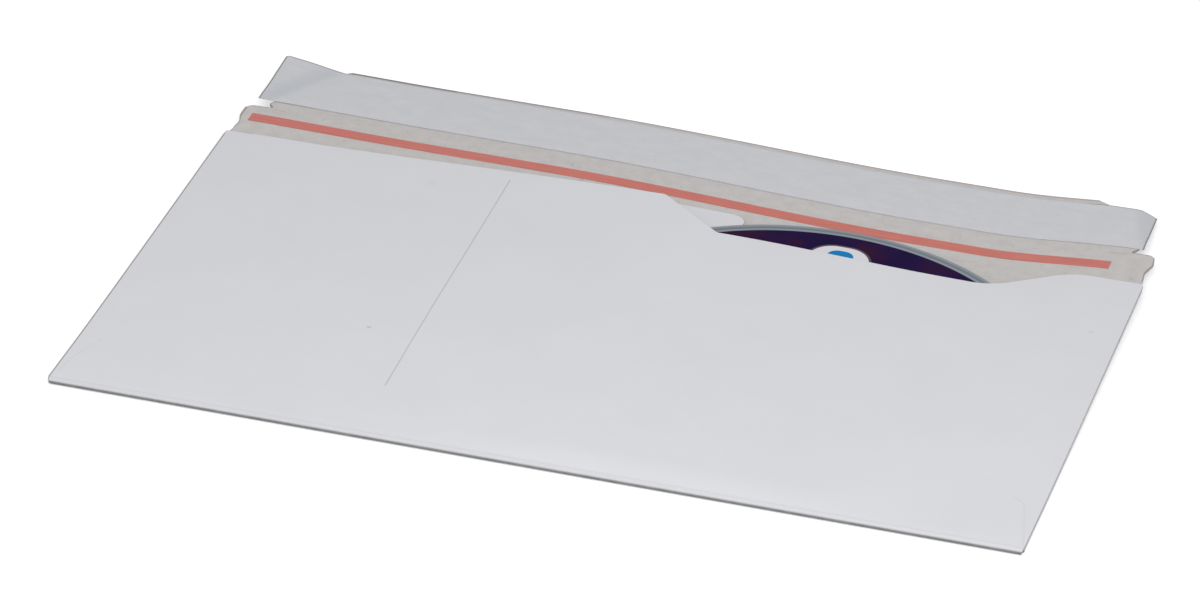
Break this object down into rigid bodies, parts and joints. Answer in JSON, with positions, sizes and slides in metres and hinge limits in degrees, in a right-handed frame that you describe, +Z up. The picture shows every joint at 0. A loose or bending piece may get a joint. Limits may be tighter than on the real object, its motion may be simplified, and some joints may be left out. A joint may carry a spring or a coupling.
{
  "type": "disc mailer",
  "caption": "Flat folded card pouch for one disc, lying open, with a hinged closure flap, red tear tape and a self-seal strip under its release liner.",
  "frame": {"origin": "middle of the bounding box, on the table under the pouch", "axes": "+X along the long side to the right, +Y from the bottom fold to the closure flap, +Z up out of the front panel"},
  "size_m": [0.225, 0.1672, 0.007],
  "materials": {
    "card": "white coated outer face, grey recycled inner face",
    "disc": "printed polycarbonate, glossy",
    "seam_glue": "dried dispersion glue",
    "tear_tape": "satin red film",
    "adhesive": "tacky, pale",
    "release_liner": "siliconised paper, faint sheen"
  },
  "bodies": {
    "pouch_body": {"pouch": "card", "disc": "disc", "glue_seam_left": "seam_glue", "glue_seam_right": "seam_glue"},
    "flap_body": {"closure_flap": "card", "tear_tape": "tear_tape", "adhesive_strip": "adhesive", "release_liner": "release_liner"}
  },
  "joints": [
    {"name": "flap_crease", "type": "hinge", "parent": "pouch_body", "child": "flap_body", "pos_m": [0, 0.0449, 0.0049], "axis": [1, 0, 0], "range_deg": [0, 180]}
  ]
}
